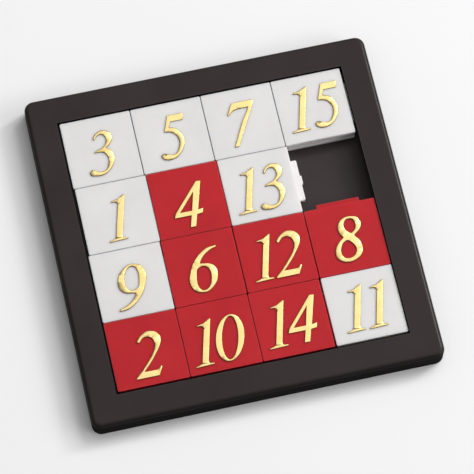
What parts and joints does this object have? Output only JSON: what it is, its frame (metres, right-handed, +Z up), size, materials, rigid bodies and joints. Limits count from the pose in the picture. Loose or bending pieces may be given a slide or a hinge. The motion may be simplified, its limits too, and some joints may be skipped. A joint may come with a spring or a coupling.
{
  "type": "sliding tile puzzle",
  "caption": "Flat square case holding numbered interlocking tiles that slide past one another into a free cell.",
  "frame": {"origin": "middle of the flat underside, on the surface that the puzzle lies on", "axes": "+Z up out of the tile faces, +X towards the reader's right, +Y towards the top row of tiles"},
  "size_m": [0.0972, 0.0972, 0.006],
  "materials": {
    "case_plastic": "satin black-brown moulded plastic with a faint grain",
    "tile_ivory": "smooth off-white moulded plastic, soft gloss",
    "tile_red": "smooth deep red moulded plastic, soft gloss",
    "numeral_gold": "raised plastic faced with pale gold foil"
  },
  "bodies": {
    "case": {"frame": "case_plastic", "base_plate": "case_plastic"},
    "tile_1": {"tile_1": "tile_ivory", "numeral_1": "numeral_gold"},
    "tile_2": {"tile_2": "tile_red", "numeral_2": "numeral_gold"},
    "tile_3": {"tile_3": "tile_ivory", "numeral_3": "numeral_gold"},
    "tile_4": {"tile_4": "tile_red", "numeral_4": "numeral_gold"},
    "tile_5": {"tile_5": "tile_ivory", "numeral_5": "numeral_gold"},
    "tile_6": {"tile_6": "tile_red", "numeral_6": "numeral_gold"},
    "tile_7": {"tile_7": "tile_ivory", "numeral_7": "numeral_gold"},
    "tile_8": {"tile_8": "tile_red", "numeral_8": "numeral_gold"},
    "tile_9": {"tile_9": "tile_ivory", "numeral_9": "numeral_gold"},
    "tile_10": {"tile_10": "tile_red", "numeral_10": "numeral_gold"},
    "tile_11": {"tile_11": "tile_ivory", "numeral_11": "numeral_gold"},
    "tile_12": {"tile_12": "tile_red", "numeral_12": "numeral_gold"},
    "tile_13": {"tile_13": "tile_ivory", "numeral_13": "numeral_gold"},
    "tile_14": {"tile_14": "tile_red", "numeral_14": "numeral_gold"},
    "tile_15": {"tile_15": "tile_ivory", "numeral_15": "numeral_gold"}
  },
  "joints": [
    {"name": "tile_1_slide", "type": "slide", "parent": "case", "child": "tile_1", "axis": [1, 0, 0], "range_m": [0, 0.02]},
    {"name": "tile_2_slide", "type": "slide", "parent": "case", "child": "tile_2", "axis": [1, 0, 0], "range_m": [-0.00015, 0.00015]},
    {"name": "tile_3_slide", "type": "slide", "parent": "case", "child": "tile_3", "axis": [1, 0, 0], "range_m": [-0.00015, 0.00015]},
    {"name": "tile_4_slide", "type": "slide", "parent": "case", "child": "tile_4", "axis": [1, 0, 0], "range_m": [0, 0.02]},
    {"name": "tile_5_slide", "type": "slide", "parent": "case", "child": "tile_5", "axis": [1, 0, 0], "range_m": [-0.00015, 0.00015]},
    {"name": "tile_6_slide", "type": "slide", "parent": "case", "child": "tile_6", "axis": [1, 0, 0], "range_m": [-0.00015, 0.00015]},
    {"name": "tile_7_slide", "type": "slide", "parent": "case", "child": "tile_7", "axis": [1, 0, 0], "range_m": [-0.00015, 0.00015]},
    {"name": "tile_8_slide", "type": "slide", "parent": "case", "child": "tile_8", "axis": [0, -1, 0], "range_m": [-0.02, 0]},
    {"name": "tile_9_slide", "type": "slide", "parent": "case", "child": "tile_9", "axis": [1, 0, 0], "range_m": [-0.00015, 0.00015]},
    {"name": "tile_10_slide", "type": "slide", "parent": "case", "child": "tile_10", "axis": [1, 0, 0], "range_m": [-0.00015, 0.00015]},
    {"name": "tile_11_slide", "type": "slide", "parent": "case", "child": "tile_11", "axis": [0, -1, 0], "range_m": [-0.02, 0]},
    {"name": "tile_12_slide", "type": "slide", "parent": "case", "child": "tile_12", "axis": [1, 0, 0], "range_m": [-0.00015, 0.00015]},
    {"name": "tile_13_slide", "type": "slide", "parent": "case", "child": "tile_13", "axis": [1, 0, 0], "range_m": [0, 0.02]},
    {"name": "tile_14_slide", "type": "slide", "parent": "case", "child": "tile_14", "axis": [1, 0, 0], "range_m": [-0.00015, 0.00015]},
    {"name": "tile_15_slide", "type": "slide", "parent": "case", "child": "tile_15", "axis": [0, 1, 0], "range_m": [-0.00015, 0.00015]}
  ],
  "couplings": [
    {"joint": "tile_4_slide", "follows": "tile_13_slide", "ratio": 1},
    {"joint": "tile_1_slide", "follows": "tile_13_slide", "ratio": 1},
    {"joint": "tile_11_slide", "follows": "tile_8_slide", "ratio": 1}
  ]
}
